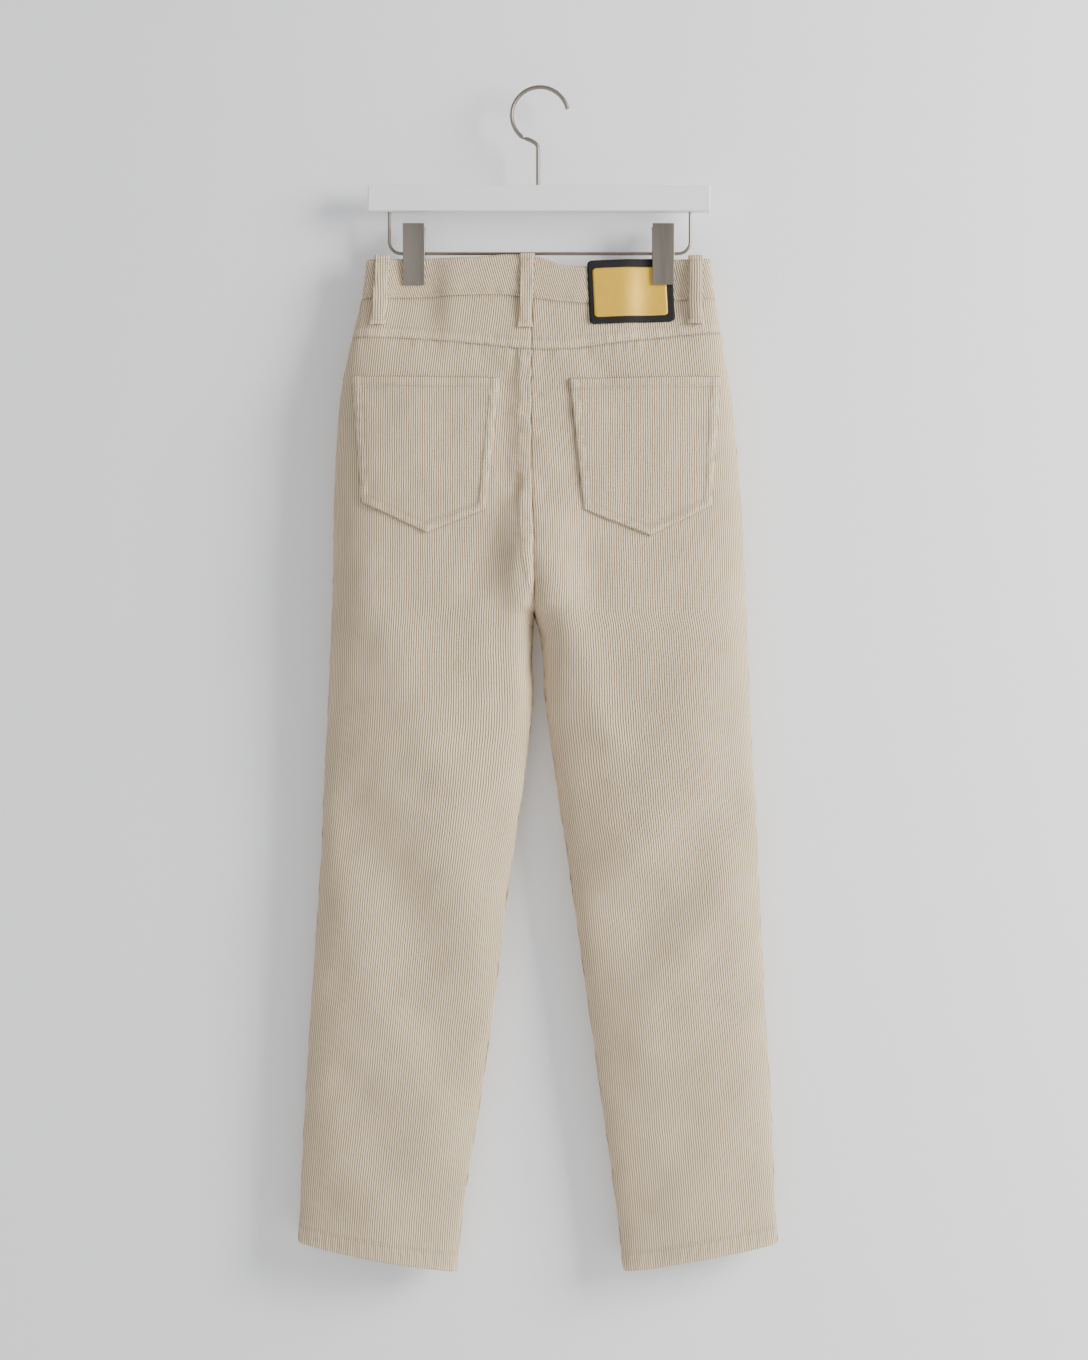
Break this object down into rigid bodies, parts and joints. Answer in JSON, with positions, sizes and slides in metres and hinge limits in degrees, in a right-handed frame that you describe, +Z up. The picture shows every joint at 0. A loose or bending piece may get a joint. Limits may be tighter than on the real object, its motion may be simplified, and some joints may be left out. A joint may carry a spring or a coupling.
{
  "type": "corduroy trousers on a clip hanger",
  "caption": "Straight-leg corduroy trousers with a back yoke, patch pockets and belt loops, hung flat by the waistband from a white clip hanger.",
  "frame": {"origin": "inner top of the hanger's hook, where the nail or rail carries it", "axes": "+Z up along the hanging garment, -Y out of the back of the trousers, +X to the right seen from behind the wearer"},
  "size_m": [0.4809, 0.0602, 1.1955],
  "materials": {
    "corduroy": "fine-wale cotton corduroy, warm beige, soft pile",
    "button_metal": "satin antique nickel",
    "patch": "black, smooth, matt",
    "gold_plate": "satin gold foil, bare",
    "white_bar": "white satin paint",
    "satin_metal": "satin champagne nickel"
  },
  "bodies": {
    "root": {"waistband": "corduroy", "yoke_left": "corduroy", "yoke_right": "corduroy", "back_leg_left": "corduroy", "back_leg_right": "corduroy", "front_leg_left": "corduroy", "front_leg_right": "corduroy", "pocket_left": "corduroy", "pocket_right": "corduroy", "loop_back_left": "corduroy", "loop_back_centre": "corduroy", "loop_back_right": "corduroy", "loop_front_left": "corduroy", "loop_front_right": "corduroy", "fly_flap": "corduroy", "waist_button": "button_metal", "patch_label": "patch", "label_plate": "gold_plate", "hanger_bar": "white_bar", "hanger_hook": "satin_metal", "hanger_wire": "satin_metal", "clip_back_left": "satin_metal", "clip_front_left": "satin_metal", "clip_spring_left": "satin_metal", "clip_back_right": "satin_metal", "clip_front_right": "satin_metal", "clip_spring_right": "satin_metal"}
  },
  "joints": []
}
